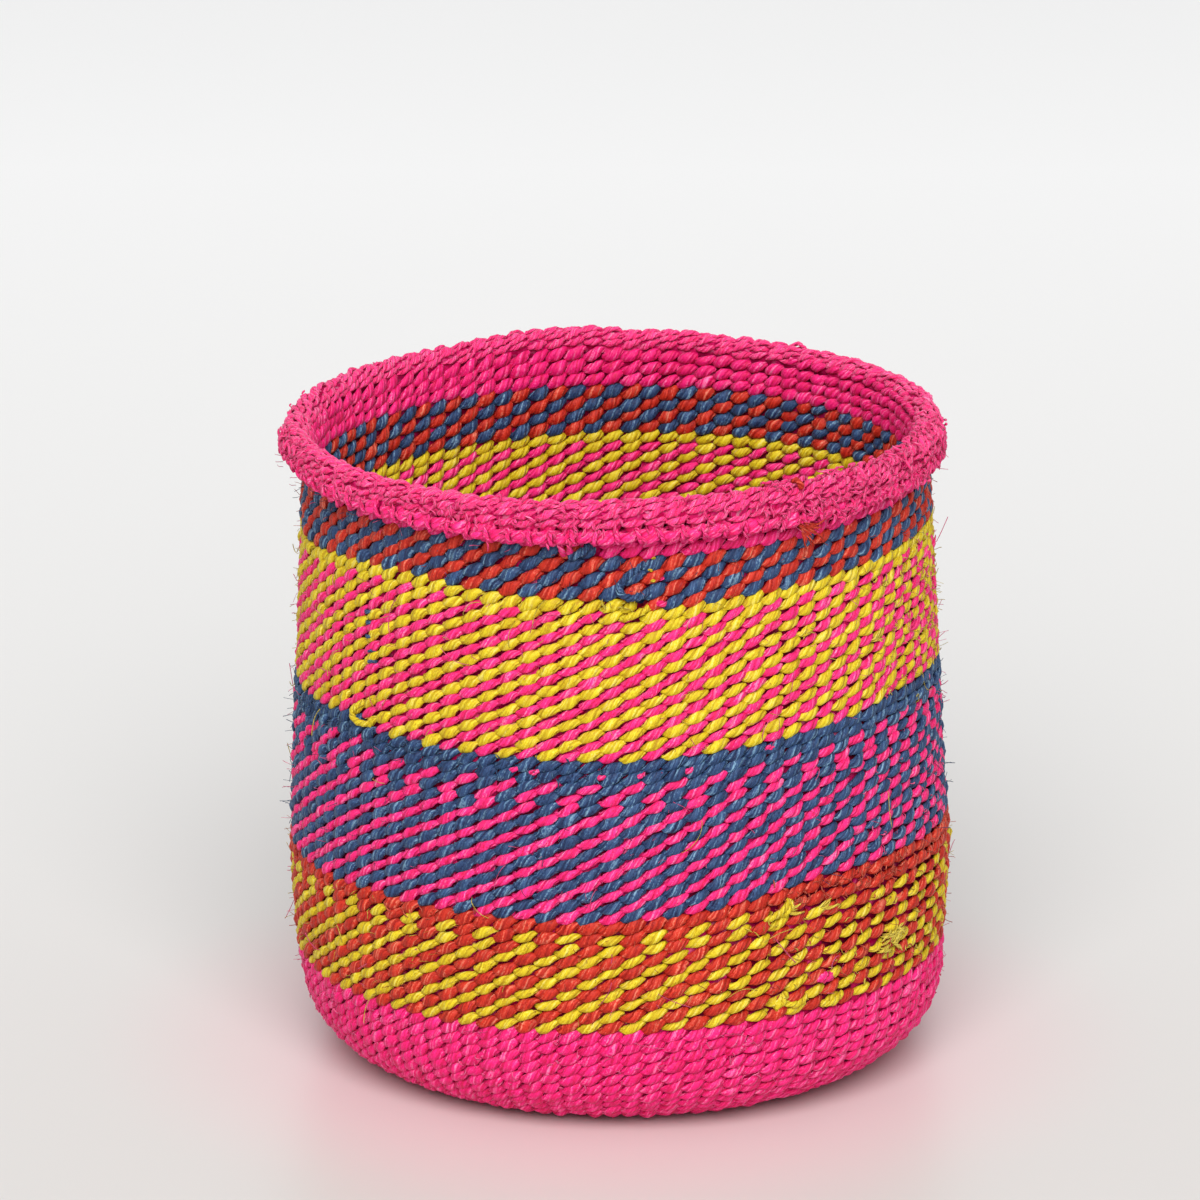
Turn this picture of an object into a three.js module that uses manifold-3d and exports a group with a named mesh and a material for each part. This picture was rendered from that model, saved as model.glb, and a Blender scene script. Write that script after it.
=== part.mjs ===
// A round basket twined from dyed sisal, with four two-colour bands and a rolled rim.
// Millimetres, +Z up. The origin is on the ground, under the middle of the floor.
//
// Upright warps stand in the middle of the wall. In every round of twining one weft strand lies
// outside the warps and one inside, so each band of the wall is two strands with the warps between.
import * as THREE from "three";
import { mergeVertices } from "three/addons/utils/BufferGeometryUtils.js";
import Module from "manifold-3d";

// Cords
const warpThickness = 1.3; // through the wall
const warpWidth = 1.6; // along the wall
const weftThickness = 1.6; // each weft strand, through the wall
const clearance = 0.3; // between a warp and a weft strand
const roundGap = 0.3; // between one weft strand and the next one above it

// Outside of the wall, from the floor up
const heelRadius = 22; // the rounded turn from floor to wall
const heelTopRadius = 77.2;
const bellyRadius = 79.7; // at the top of the first band
const shoulderRadius = 77.4; // at the top of the second band
const rimSeatRadius = 74.2; // where the wall turns over into the rim

// Rounds of twining in each band, and the height of one round
const footRounds = 2;
const footRoundHeight = 2.65;
const firstBandRounds = 10; // red and yellow
const firstBandRoundHeight = 2.97;
const secondBandRounds = 15; // blue and pink
const secondBandRoundHeight = 2.61;
const thirdBandRounds = 15; // yellow and pink
const thirdBandRoundHeight = 2.45;
const fourthBandRounds = 4; // blue and red
const fourthBandRoundHeight = 2.83;
const collarRounds = 3; // plain pink, under the rolled rim
const collarRoundHeight = 2.85;

// Rounds at the top of a band that have one colour, where a second strand of it comes in
const plainRedRounds = 1;
const plainBlueRounds = 2;
const plainYellowRounds = 1;

// Rolled rim
const turnedEndLength = 4.6; // how far the warp ends hang down inside the roll
const hemCordRadius = 1.4;

// Warps on the floor
const crossingWarps = 6; // in each of two layers; each is two strands side by side
const crossingGap = 0.85; // between neighbours where they cross
const turnOffDistance = 2.8; // from the last crossing warp to where a warp turns off
const settledShare = 0.25; // how much of the way outwards a warp needs to leave its layer
const partedGap = 0.6; // between neighbouring legs where the long warps have parted
const foldGap = 1.1; // between neighbouring legs where a folded extra warp starts
const pairOverlap = 0.06; // the two strands of a long warp press into each other

// Facets round the basket
const ringSegments = 40;
const heelSteps = 3;
const hemCordSides = 6;
const mergeDistance = 1e-4; // corners closer than this are one corner

// What follows from the sizes above
const innerFace = warpThickness / 2 + clearance; // from the warps' middle to a weft strand
const outerFace = innerFace + weftThickness; // from the warps' middle to the surface
const floorLevel = outerFace; // height of the warps' middle over the ground
const heelBend = heelRadius - outerFace; // bend of the warps' middle line
const heelTop = floorLevel + heelBend;
const floorEdge = heelTopRadius - outerFace - heelBend;
const footTop = heelTop + footRounds * footRoundHeight;
const firstBandTop = footTop + firstBandRounds * firstBandRoundHeight;
const secondBandTop = firstBandTop + secondBandRounds * secondBandRoundHeight;
const thirdBandTop = secondBandTop + thirdBandRounds * thirdBandRoundHeight;
const fourthBandTop = thirdBandTop + fourthBandRounds * fourthBandRoundHeight;
const collarTop = fourthBandTop + collarRounds * collarRoundHeight;
const flatToCorner = 1 / Math.cos(Math.PI / ringSegments); // from a facet's flat out to its corner
const cornerRise = rimSeatRadius * (flatToCorner - 1);
const rollReach = weftThickness + 2 * clearance + warpThickness + cornerRise;

// Each end of a long warp and the folded extra warp between its two strands give four legs. One
// more leg makes the count odd, so that two colours step over by one warp in each round.
const groups = 4 * crossingWarps;
const legs = 4 * groups + 1;
const legAngle = (2 * Math.PI) / legs;
const partingRadius = (warpWidth + partedGap) / legAngle;
const foldRadius = (warpWidth + foldGap) / legAngle;
const layerShift = (warpThickness + clearance) / 2;
const longWarpPitch = 2 * warpWidth - pairOverlap + crossingGap;
const matHalf = ((crossingWarps - 1) / 2) * longWarpPitch; // to the middle of the last long warp
const matEdge = matHalf + turnOffDistance;
const matCorner = Math.hypot(matEdge, matHalf + warpWidth);
const floorWeftStart = matCorner + settledShare * (partingRadius - matCorner) + clearance;

const colours = { pink: 0xe8307a, red: 0xb93328, yellow: 0xd0c430, blue: 0x3a5680 };

function sisal(colour) {
  return new THREE.MeshStandardMaterial({ color: colours[colour], roughness: 0.9, metalness: 0 });
}

const wasm = await Module();
wasm.setup();

function solidOf(geometry) {
  const merged = mergeVertices(geometry, mergeDistance);
  const mesh = new wasm.Mesh({
    numProp: 3,
    vertProperties: merged.attributes.position.array,
    triVerts: new Uint32Array(merged.index.array),
  });
  return new wasm.Manifold(mesh);
}

function geometryOf(solid) {
  const mesh = solid.getMesh();
  const geometry = new THREE.BufferGeometry();
  geometry.setAttribute("position", new THREE.BufferAttribute(mesh.vertProperties, 3));
  geometry.setIndex(new THREE.BufferAttribute(mesh.triVerts, 1));
  return geometry;
}

// The line that the middle of a warp follows, from the edge of the floor to its turned-down end.
// x is the distance from the basket's axis and y is the height.
function warpLine() {
  const line = [];
  for (let step = 0; step <= heelSteps; step++) {
    const angle = ((step / heelSteps) * Math.PI) / 2;
    line.push(
      new THREE.Vector2(floorEdge + heelBend * Math.sin(angle), heelTop - heelBend * Math.cos(angle)),
    );
  }
  line.push(new THREE.Vector2(bellyRadius - outerFace, firstBandTop));
  line.push(new THREE.Vector2(shoulderRadius - outerFace, secondBandTop));
  const rollBend = rollReach / 2;
  const rollCentre = rimSeatRadius - outerFace + rollBend;
  for (const angle of [Math.PI, (2 * Math.PI) / 3, Math.PI / 3, 0]) {
    line.push(
      new THREE.Vector2(rollCentre + rollBend * Math.cos(angle), collarTop + rollBend * Math.sin(angle)),
    );
  }
  line.push(new THREE.Vector2(rollCentre + rollBend, collarTop - turnedEndLength));
  return line;
}

// At each corner of a line, the unit vector that halves the corner and points out of the basket.
function cornerNormals(line) {
  return line.map((point, i) => {
    const before = line[Math.max(i - 1, 0)];
    const after = line[Math.min(i + 1, line.length - 1)];
    const along = new THREE.Vector2();
    if (i === 0) along.set(1, 0);
    else along.add(point.clone().sub(before).normalize());
    along.add(i === line.length - 1 ? along : after.clone().sub(point).normalize());
    return new THREE.Vector2(along.y, -along.x).normalize();
  });
}

// The same line moved sideways. A positive distance is towards the outside of the wall.
function beside(line, distance) {
  const normals = cornerNormals(line);
  return line.map((point, i) => {
    const next = i < line.length - 1 ? line[i + 1].clone().sub(point) : point.clone().sub(line[i - 1]);
    const along = next.normalize();
    const square = new THREE.Vector2(along.y, -along.x);
    return point.clone().addScaledVector(normals[i], distance / normals[i].dot(square));
  });
}

const middle = warpLine();
const wallStart = heelSteps; // index of the heel's top
const wallCorners = 2; // the belly and the shoulder
const rollStart = wallStart + wallCorners + 1; // index of the roll's first point

// The point of a line at a given height, between the heel and the roll.
function atHeight(line, height) {
  for (let i = wallStart; i < rollStart; i++) {
    const low = line[i];
    const high = line[i + 1];
    if (height <= high.y || i === rollStart - 1) {
      return new THREE.Vector2().lerpVectors(low, high, (height - low.y) / (high.y - low.y));
    }
  }
}

const faces = {
  outer: [beside(middle, innerFace), beside(middle, outerFace)],
  inner: [beside(middle, -innerFace), beside(middle, -outerFace)],
};

// Where a ring lies outside the warps, its flats, not its corners, are at the stated distance.
function onFlats(points) {
  return points.map((point) => new THREE.Vector2(point.x * flatToCorner, point.y));
}

// A closed section turned round the basket's axis.
function ring(section) {
  const profile = section.map((point) => point.clone());
  if (THREE.ShapeUtils.area(profile) < 0) profile.reverse();
  profile.push(profile[0].clone());
  const geometry = new THREE.LatheGeometry(profile, ringSegments);
  geometry.rotateX(Math.PI / 2);
  geometry.deleteAttribute("normal");
  geometry.deleteAttribute("uv");
  return geometryOf(solidOf(geometry));
}

// One weft strand of a band, between two heights on the wall.
function bandStrand(side, bottom, top) {
  const [near, far] = faces[side];
  const low = bottom + roundGap / 2;
  const high = top - roundGap / 2;
  const section = [atHeight(near, low), atHeight(far, low), atHeight(far, high), atHeight(near, high)];
  return ring(side === "outer" ? onFlats(section) : section);
}

// One weft strand of the foot: round the heel and up to the first band.
function footStrand(side) {
  const [near, far] = faces[side];
  const high = footTop - roundGap / 2;
  const up = near.slice(0, wallStart + 1);
  const down = far.slice(0, wallStart + 1).reverse();
  const section = [...up, atHeight(near, high), atHeight(far, high), ...down];
  return ring(side === "outer" ? onFlats(section) : section);
}

// One weft strand of the floor: a flat ring from the crossed warps to the heel.
function floorStrand(side) {
  const [near, far] = faces[side].map((line) => line[0]);
  return ring([
    new THREE.Vector2(floorWeftStart, near.y),
    new THREE.Vector2(near.x - roundGap, near.y),
    new THREE.Vector2(far.x - roundGap, far.y),
    new THREE.Vector2(floorWeftStart, far.y),
  ]);
}

// The strand twined over the fold of the rim, down to the hem.
function rimCover() {
  const start = collarTop + roundGap / 2;
  const fold = (line) => {
    const rising = [new THREE.Vector2(line[rollStart].x, start), line[rollStart + 1]];
    return [...rising, ...onFlats(line.slice(rollStart + 2))];
  };
  const [near, far] = faces.inner;
  return ring([...fold(near), ...fold(far).reverse()]);
}

// The round cord that closes the hem under the turned-down warp ends.
function hemCord() {
  const hemEdge = middle[middle.length - 1].y;
  const height = hemEdge - clearance - hemCordRadius;
  const wall = atHeight(faces.outer[1], height - hemCordRadius).x;
  const radius = wall + clearance + hemCordRadius;
  const section = [];
  for (let side = 0; side < hemCordSides; side++) {
    const angle = (2 * Math.PI * side) / hemCordSides;
    const place = new THREE.Vector2(Math.cos(angle), Math.sin(angle)).multiplyScalar(hemCordRadius);
    section.push(place.add(new THREE.Vector2(radius, height)));
  }
  return ring(onFlats(section));
}

// A strand of rectangular section along points that each carry the surface's normal there.
function cord(path) {
  const positions = [];
  const index = [];
  path.forEach(({ point, normal }, i) => {
    const along = [];
    if (i > 0) along.push(point.clone().sub(path[i - 1].point).normalize());
    if (i < path.length - 1) along.push(path[i + 1].point.clone().sub(point).normalize());
    const mean = along.reduce((sum, step) => sum.add(step), new THREE.Vector3());
    const across = new THREE.Vector3().crossVectors(normal, mean).normalize();
    const mitre = (axis) => 1 / Math.sqrt(1 - along[0].dot(axis) ** 2);
    const halfAcross = across.clone().multiplyScalar((warpWidth / 2) * mitre(across));
    const halfUp = normal.clone().multiplyScalar((warpThickness / 2) * mitre(normal));
    for (const [a, u] of [[1, 1], [-1, 1], [-1, -1], [1, -1]]) {
      const corner = point.clone().addScaledVector(halfAcross, a).addScaledVector(halfUp, u);
      positions.push(corner.x, corner.y, corner.z);
    }
  });
  for (let i = 0; i < path.length - 1; i++) {
    for (let side = 0; side < 4; side++) {
      const a = 4 * i + side;
      const b = 4 * i + ((side + 1) % 4);
      index.push(a, b, b + 4, a, b + 4, a + 4);
    }
  }
  const last = 4 * (path.length - 1);
  index.push(0, 2, 1, 0, 3, 2);
  index.push(last, last + 1, last + 2, last, last + 2, last + 3);
  const geometry = new THREE.BufferGeometry();
  geometry.setAttribute("position", new THREE.Float32BufferAttribute(positions, 3));
  geometry.setIndex(index);
  return geometry;
}

const up = new THREE.Vector3(0, 0, 1);

function onFloor(x, y, shift = 0) {
  return { point: new THREE.Vector3(x, y, floorLevel + shift), normal: up };
}

// The direction of a leg: the groups start an eighth of a turn before the +X axis, and a leg's
// place in its group is 0 to 3.
function legDirection(group, place) {
  return (4 * (group - groups / 8) + place + 0.5) * legAngle;
}

function floorPoint(radius, direction) {
  return onFloor(radius * Math.cos(direction), radius * Math.sin(direction));
}

// The part of a warp from the edge of the floor up the wall and over the rim.
function wallPath(direction) {
  const normals = cornerNormals(middle);
  return middle.map((place, i) => {
    const spin = (radial, height) =>
      new THREE.Vector3(radial * Math.cos(direction), radial * Math.sin(direction), height);
    return { point: spin(place.x, place.y), normal: spin(-normals[i].x, -normals[i].y) };
  });
}

// A long warp: two strands that run side by side over or under the crossing warps, then part.
function longWarp(layer, rank) {
  const shift = layer === 0 ? layerShift : -layerShift;
  const strands = [-1, 1].map((side) => {
    const offset = rank * longWarpPitch - matHalf + side * (warpWidth / 2 - pairOverlap / 2);
    const [back, front] = [-1, 1].map((end) => {
      const near = layer * crossingWarps + rank;
      const far = (layer + 3) * crossingWarps - 1 - rank;
      const direction = legDirection(end > 0 ? near : far, side * end > 0 ? 3 : 0);
      const turn = layer === 0 ? [end * matEdge, offset] : [-offset, end * matEdge];
      const parted = floorPoint(partingRadius, direction);
      const settled = new THREE.Vector3(...turn, floorLevel).lerp(parted.point, settledShare);
      return [onFloor(...turn, shift), onFloor(settled.x, settled.y), parted, ...wallPath(direction)];
    });
    return solidOf(cord([...back.reverse(), ...front]));
  });
  return geometryOf(strands[0].add(strands[1]));
}

// A leg that starts part of the way out on the floor.
function shortLeg(direction) {
  return [floorPoint(foldRadius, direction), ...wallPath(direction)];
}

// A folded extra warp: one strand bent double, with a leg each side of the group's middle.
function addedWarp(group) {
  const directions = [1, 2].map((leg) => legDirection(group, leg));
  const centre = (directions[0] + directions[1]) / 2;
  const half = foldRadius * Math.sin(legAngle / 2);
  const bend = [-0.5, 0.5].map((side) => {
    const across = side * half;
    const radial = foldRadius - half;
    return onFloor(
      radial * Math.cos(centre) - across * Math.sin(centre),
      radial * Math.sin(centre) + across * Math.cos(centre),
    );
  });
  const [first, second] = directions.map((direction) => shortLeg(direction));
  return cord([...first.reverse(), ...bend, ...second]);
}

// The one single warp that makes the count odd.
function oddWarp() {
  return cord(shortLeg(legDirection(groups, 0)));
}

const basket = new THREE.Group();

function place(name, geometry, colour) {
  const mesh = new THREE.Mesh(geometry, sisal(colour));
  mesh.name = name;
  basket.add(mesh);
}

const number = (i) => String(i + 1).padStart(2, "0");

for (const layer of [0, 1]) {
  for (let rank = 0; rank < crossingWarps; rank++) {
    place(`long_warp_${number(layer * crossingWarps + rank)}`, longWarp(layer, rank), "pink");
  }
}
for (let group = 0; group < groups; group++) {
  place(`added_warp_${number(group)}`, addedWarp(group), "pink");
}
place("odd_warp", oddWarp(), "pink");

place("floor_weft_under", floorStrand("outer"), "pink");
place("floor_weft_over", floorStrand("inner"), "pink");
place("foot_weft_outer", footStrand("outer"), "pink");
place("foot_weft_inner", footStrand("inner"), "pink");

const plainRed = firstBandTop - plainRedRounds * firstBandRoundHeight;
place("band1_red_weft", bandStrand("outer", footTop, firstBandTop), "red");
place("band1_yellow_weft", bandStrand("inner", footTop, plainRed), "yellow");
place("band1_second_red_weft", bandStrand("inner", plainRed, firstBandTop), "red");

const plainBlue = secondBandTop - plainBlueRounds * secondBandRoundHeight;
place("band2_blue_weft", bandStrand("outer", firstBandTop, secondBandTop), "blue");
place("band2_pink_weft", bandStrand("inner", firstBandTop, plainBlue), "pink");
place("band2_second_blue_weft", bandStrand("inner", plainBlue, secondBandTop), "blue");

const plainYellow = thirdBandTop - plainYellowRounds * thirdBandRoundHeight;
place("band3_yellow_weft", bandStrand("outer", secondBandTop, thirdBandTop), "yellow");
place("band3_pink_weft", bandStrand("inner", secondBandTop, plainYellow), "pink");
place("band3_second_yellow_weft", bandStrand("inner", plainYellow, thirdBandTop), "yellow");

place("band4_blue_weft", bandStrand("outer", thirdBandTop, fourthBandTop), "blue");
place("band4_red_weft", bandStrand("inner", thirdBandTop, fourthBandTop), "red");

place("collar_weft_outer", bandStrand("outer", fourthBandTop, collarTop), "pink");
place("collar_weft_inner", bandStrand("inner", fourthBandTop, collarTop), "pink");
place("rim_cover_weft", rimCover(), "pink");
place("rim_hem_cord", hemCord(), "pink");

export default basket;
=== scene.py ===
import math
import bmesh
import bpy
import numpy as np
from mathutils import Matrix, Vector


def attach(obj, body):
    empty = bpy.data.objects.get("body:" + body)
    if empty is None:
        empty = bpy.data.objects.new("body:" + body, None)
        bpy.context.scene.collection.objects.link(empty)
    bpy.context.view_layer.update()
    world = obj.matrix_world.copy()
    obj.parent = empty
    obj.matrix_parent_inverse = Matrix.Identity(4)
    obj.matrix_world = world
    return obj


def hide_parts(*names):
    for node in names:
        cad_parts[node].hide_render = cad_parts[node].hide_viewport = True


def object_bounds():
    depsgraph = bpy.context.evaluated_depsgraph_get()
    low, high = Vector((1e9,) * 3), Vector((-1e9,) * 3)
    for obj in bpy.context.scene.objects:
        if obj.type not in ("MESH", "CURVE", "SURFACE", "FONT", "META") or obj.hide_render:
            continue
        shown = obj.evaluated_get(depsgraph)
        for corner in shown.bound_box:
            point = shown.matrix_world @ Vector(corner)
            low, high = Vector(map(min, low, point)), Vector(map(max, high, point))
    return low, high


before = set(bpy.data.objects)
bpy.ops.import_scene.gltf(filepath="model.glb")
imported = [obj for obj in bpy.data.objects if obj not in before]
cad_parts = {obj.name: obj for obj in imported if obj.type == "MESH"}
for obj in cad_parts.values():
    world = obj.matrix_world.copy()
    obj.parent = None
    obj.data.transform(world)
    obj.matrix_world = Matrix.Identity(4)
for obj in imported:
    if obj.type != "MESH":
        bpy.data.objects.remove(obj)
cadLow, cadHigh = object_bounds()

# A small round basket, twined from two-ply dyed sisal: pink foot, four two-colour bands and a
# rolled rim. Lengths in this script are millimetres until a mesh is made. Angles round the basket
# start at the front and run to the right, in radians, degrees or whole turns.
mm = 0.001
scene = bpy.context.scene
scene.view_settings.view_transform = "Standard"
rng = np.random.default_rng(11)

# Camera
framing = {
    "distance": 1800.0,
    "elevation": 17.9,      # degrees over the floor
    "aimHeight": 75.0,
    "lift": 33.7,           # how far over the aim point the middle of the picture is
    "left": 4.1,            # and how far to the left of it
    "lens": 223.35,
    "sensor": 36.0,
    "clipEnd": 50000.0,
}


def addCamera():
    tilt = math.radians(framing["elevation"])
    outward = Vector((0, -math.cos(tilt), math.sin(tilt)))
    upward = Vector((0, math.sin(tilt), math.cos(tilt)))
    aim = Vector((0, 0, framing["aimHeight"]))
    place = aim + outward * framing["distance"]
    target = aim + upward * framing["lift"] - Vector((framing["left"], 0, 0))
    data = bpy.data.cameras.new("camera")
    data.lens = framing["lens"]
    data.sensor_width = framing["sensor"]
    data.sensor_fit = "HORIZONTAL"
    data.clip_end = framing["clipEnd"] * mm
    camera = bpy.data.objects.new("camera", data)
    camera.location = place * mm
    camera.rotation_euler = (target - place).to_track_quat("-Z", "Y").to_euler()
    scene.collection.objects.link(camera)
    scene.camera = camera


addCamera()
print("camera placed")

# Shape of the wall, from the middle of the floor to the hem outside the rim
widest = cadHigh.x / mm
shape = {
    "heights": (22, 30, 60, 90, 120, 146),
    "insets": (2.4, 2.0, 0.1, 2.3, 3.4, 5.4),    # of the wall's outside, from the widest radius
    "curveDegree": 4,       # of the curve through these heights and insets
    "skin": 2.35,           # from the outside of the wall to the middle of it
    "floorStart": 18.5,     # radius where the twining starts
    "floorEdge": 55.2,      # radius where the floor turns up into the heel
    "heelBend": 19.45,      # radius of the heel, at the middle of the wall
    "floorShare": 0.52,     # of the pink rounds below the first band: the floor's, then the foot's
    "foldBend": 1.9,        # of the wall's middle, where it turns over
    "foldRadius": 74.15,    # from the basket's axis to the middle of the roll
    "flareHeight": 140.0,   # from here up the wall leans towards the roll
    "flareLength": 13.0,
    "rimMiddle": 153.4,     # mean height of the fold
    "rimOval": 1.0,         # the rim reaches out further on the left than on the right
    "coverReach": 5.1,      # of the twining on the outside, below the fold
    "hemShare": 0.6,        # of the hem's lift, that the end of this twining follows
    "wave": 0.35,           # how far the wall is out of round, from the next height up
    "waveHeight": 60.0,
    "waves": ((2, 38.0, 1.1, 1.0), (3, -25.0, 0.0, 0.7)),   # lobes, height of drift, start, share
    "fullHeights": (10, 20, 30, 52, 75),      # the foot bulges out on the right
    "fullReach": (3.4, 2.8, 1.6, 1.5, 0.0),
}
floorLength = shape["floorEdge"] - shape["floorStart"]
heelLength = shape["heelBend"] * math.pi / 2
heelTop = shape["heelBend"] + shape["skin"]
wallStart = floorLength + heelLength - heelTop      # plus a height it gives the place on the wall
foldLength = shape["foldBend"] * math.pi
wallCurve = np.polyfit(shape["heights"], widest - np.array(shape["insets"]), shape["curveDegree"])

# Where each band starts and ends, in turns from the front. The two strands climb one round in each
# turn.
warpCount = 97
rounds = {
    "floorStart": -26.53,
    "footTop": 0.47,        # first band starts here
    "plainRed": 9.08,       # and its yellow strand ends here
    "firstTop": 10.72,
    "plainBlue": 23.86,
    "secondTop": 25.86,
    "plainYellow": 39.01,
    "thirdTop": 40.01,
    "fourthTop": 43.99,
    "foldStart": 47.4,
    "foldEnd": 52.4,
    "coverEnd": 54.3,
    "extraCrossings": (8.5, 21.5),    # the pattern stands still here for one round
}
heelStart = rounds["floorStart"] + (rounds["footTop"] - rounds["floorStart"]) * shape["floorShare"]

# Heights of the rim's fold and of the band edges: degrees round the basket, and the height there.
# The last row is how far the hem lies above its place.
heights = {
    "rim": ((-90, 152.4), (-45, 152.6), (-15, 152.6), (0, 153.6), (20, 154.2), (60, 154.4),
            (90, 154.9), (157, 154.0), (165, 154.8), (178, 154.6), (187, 155.5), (202, 154.5),
            (212, 153.4)),
    "footTop": ((-60, 26.6), (-15, 27.2), (15, 28.2), (50, 27.9), (180, 27.4)),
    "firstTop": ((-72, 54.4), (-44, 56.2), (0, 55.9), (14, 57.7), (36, 61.8), (57, 61.8),
                 (76, 60.1), (180, 57.5)),
    "secondTop": ((-75, 92.1), (-48, 95.3), (0, 94.9), (21, 96.4), (47, 98.5), (59, 100.1),
                  (70, 99.6), (180, 95.5)),
    "thirdTop": ((-75, 129.1), (-55, 132.1), (-40, 132.9), (-22, 131.3), (-8, 130.7), (6, 131.4),
                 (25, 133.4), (65, 134.9), (180, 132.3)),
    "fourthTop": ((-60, 143.3), (0, 144.1), (60, 145.4), (180, 144.2)),
    "hemLift": ((-95, 3.0), (-75, 2.1), (-40, 0.9), (-22, 0.0), (25, 0.0), (60, 0.0), (95, -0.8),
                (180, 1.0)),
}


def heightOf(edge, angle):
    turn, height = np.array(heights[edge], float).T
    return np.interp(np.degrees(angle), turn, height, period=360)


def rimHeight(angle):
    return heightOf("rim", angle)


# How far along the profile a strand is after some turns
def along(turns):
    angle = 2 * np.pi * turns
    fold = wallStart + rimHeight(angle)
    coverLength = shape["coverReach"] - shape["hemShare"] * heightOf("hemLift", angle)
    stops = [(rounds["floorStart"], 0 * angle)]
    for edge in ("footTop", "firstTop", "secondTop", "thirdTop", "fourthTop"):
        stops.append((rounds[edge], wallStart + heightOf(edge, angle)))
    stops.append((rounds["foldStart"], fold))
    stops.append((rounds["foldEnd"], fold + foldLength))
    stops.append((rounds["coverEnd"], fold + foldLength + coverLength))
    turns = np.clip(turns, stops[0][0], stops[-1][0])
    distance = np.zeros_like(turns)
    for (low, lowPlace), (high, highPlace) in zip(stops, stops[1:]):
        here = (turns >= low) & (turns <= high)
        share = (turns - low) / (high - low)
        distance[here] = (lowPlace + share * (highPlace - lowPlace))[here]
    return distance


# The middle of the wall at an angle and a distance along the profile: a point, the direction out of
# the basket and the direction along the profile
def surface(distance, angle):
    fold = wallStart + rimHeight(angle)
    bend = shape["heelBend"]
    roll = shape["foldBend"]
    heelAngle = np.clip((distance - floorLength) / bend, 0, np.pi / 2)
    foldAngle = np.clip((distance - fold) / roll, 0, np.pi)
    height = np.minimum(distance - wallStart, rimHeight(angle))
    over = np.maximum(distance - fold - foldLength, 0)
    onWall = distance > floorLength + heelLength
    wallRadius = np.polyval(wallCurve, np.maximum(height, heelTop)) - shape["skin"]
    rimRadius = shape["foldRadius"] - roll + shape["rimOval"] * (1 - np.sin(angle))
    towardsRim = np.clip((height - shape["flareHeight"]) / shape["flareLength"], 0, 1)
    wallRadius += towardsRim * (rimRadius - wallRadius)
    wallRadius += roll * (1 - np.cos(foldAngle))
    floorRadius = np.minimum(shape["floorStart"] + distance, shape["floorEdge"])
    radius = np.where(onWall, wallRadius, floorRadius + bend * np.sin(heelAngle))
    wallLevel = height + roll * np.sin(foldAngle) - over
    footLevel = shape["skin"] + bend * (1 - np.cos(heelAngle))
    level = np.where(onWall, wallLevel, footLevel)
    wave = shape["wave"] * np.clip(level / shape["waveHeight"], 0, 1)
    for lobes, drift, start, share in shape["waves"]:
        radius += wave * share * np.sin(lobes * angle + level / drift + start)
    bulge = np.interp(level, shape["fullHeights"], shape["fullReach"])
    radius += bulge * np.sin(heelAngle) * np.clip(np.sin(angle), 0, 1)
    turn = np.where(onWall, -foldAngle, np.pi / 2 - heelAngle)
    radial = np.stack([np.sin(angle), -np.cos(angle), 0 * angle], -1)
    point = radial * radius[:, None]
    point[:, 2] = level
    up = np.array([0, 0, 1.0])
    outward = radial * np.cos(turn)[:, None] - up * np.abs(np.sin(turn))[:, None]
    onward = radial * np.abs(np.sin(turn))[:, None] + up * np.cos(turn)[:, None]
    return point, outward, onward


# Cords are swept as rings of points. The lay of a cord follows its two twisted plies and is what
# the sisal's fibres are drawn along. Proud tells how far a point stands out of the weave, and the
# materials paint shade into the colour where it is low.
cordShape = {
    "sides": 8,
    "plyPitch": {"wall": 8.0, "rim": 4.4, "warp": 8.0},     # length of one turn of the two plies
    "plyGroove": {"wall": 0.12, "rim": 0.34, "warp": 0.0},  # depth, as a share of the thickness
    "roughness": {"wall": 0.08, "rim": 0.15, "warp": 0.07},     # and of the outline's unevenness
    "layRadius": 1.0,       # of the pattern that the fibres are drawn from
    "layShift": 1000.0,     # no two cords have the same streaks
}


def unit(vectors):
    return vectors / np.linalg.norm(vectors, axis=-1, keepdims=True)


def sweep(path, outward, halfThick, halfTall, sides=cordShape["sides"], style="wall", offset=None):
    count = len(path)
    heading = unit(np.gradient(path, axis=0))
    outward = unit(outward - heading * np.sum(outward * heading, -1, keepdims=True))
    tall = np.cross(heading, outward)
    step = np.linalg.norm(np.diff(path, axis=0), axis=1)
    length = np.concatenate([[0], np.cumsum(step)])
    around = 2 * np.pi * np.arange(sides) / sides
    twist = around[None] + 2 * np.pi * length[:, None] / cordShape["plyPitch"][style]
    plump = 1 - cordShape["plyGroove"][style] * np.sin(twist) ** 2
    plump += cordShape["roughness"][style] * rng.uniform(-1, 1, twist.shape)
    thick = np.broadcast_to(halfThick, count)[:, None] * plump * np.cos(around)
    high = np.broadcast_to(halfTall, count)[:, None] * plump * np.sin(around)
    points = path[:, None] + outward[:, None] * thick[..., None] + tall[:, None] * high[..., None]
    proud = np.ones_like(thick)
    if offset is not None:
        reach = weft["swing"] / weft["halfThick"] * np.broadcast_to(halfThick, count) + halfThick
        proud = np.abs(offset[:, None] + thick) / reach[:, None]
    start = rng.uniform(0, cordShape["layShift"])
    lay = np.stack([
        cordShape["layRadius"] * np.cos(twist),
        cordShape["layRadius"] * np.sin(twist),
        np.broadcast_to(length[:, None] + start, twist.shape),
    ], -1)
    ring = np.arange(sides)
    first = (np.arange(count - 1) * sides)[:, None]
    following = (ring + 1) % sides
    upper = first + sides
    quads = np.stack([first + ring, first + following, upper + following, upper + ring], -1)
    last = (count - 1) * sides
    return {
        "points": points.reshape(-1, 3),
        "lay": lay.reshape(-1, 3),
        "proud": proud.ravel(),
        "quads": quads.reshape(-1, 4),
        "caps": [ring[::-1], last + ring],
    }


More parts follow.
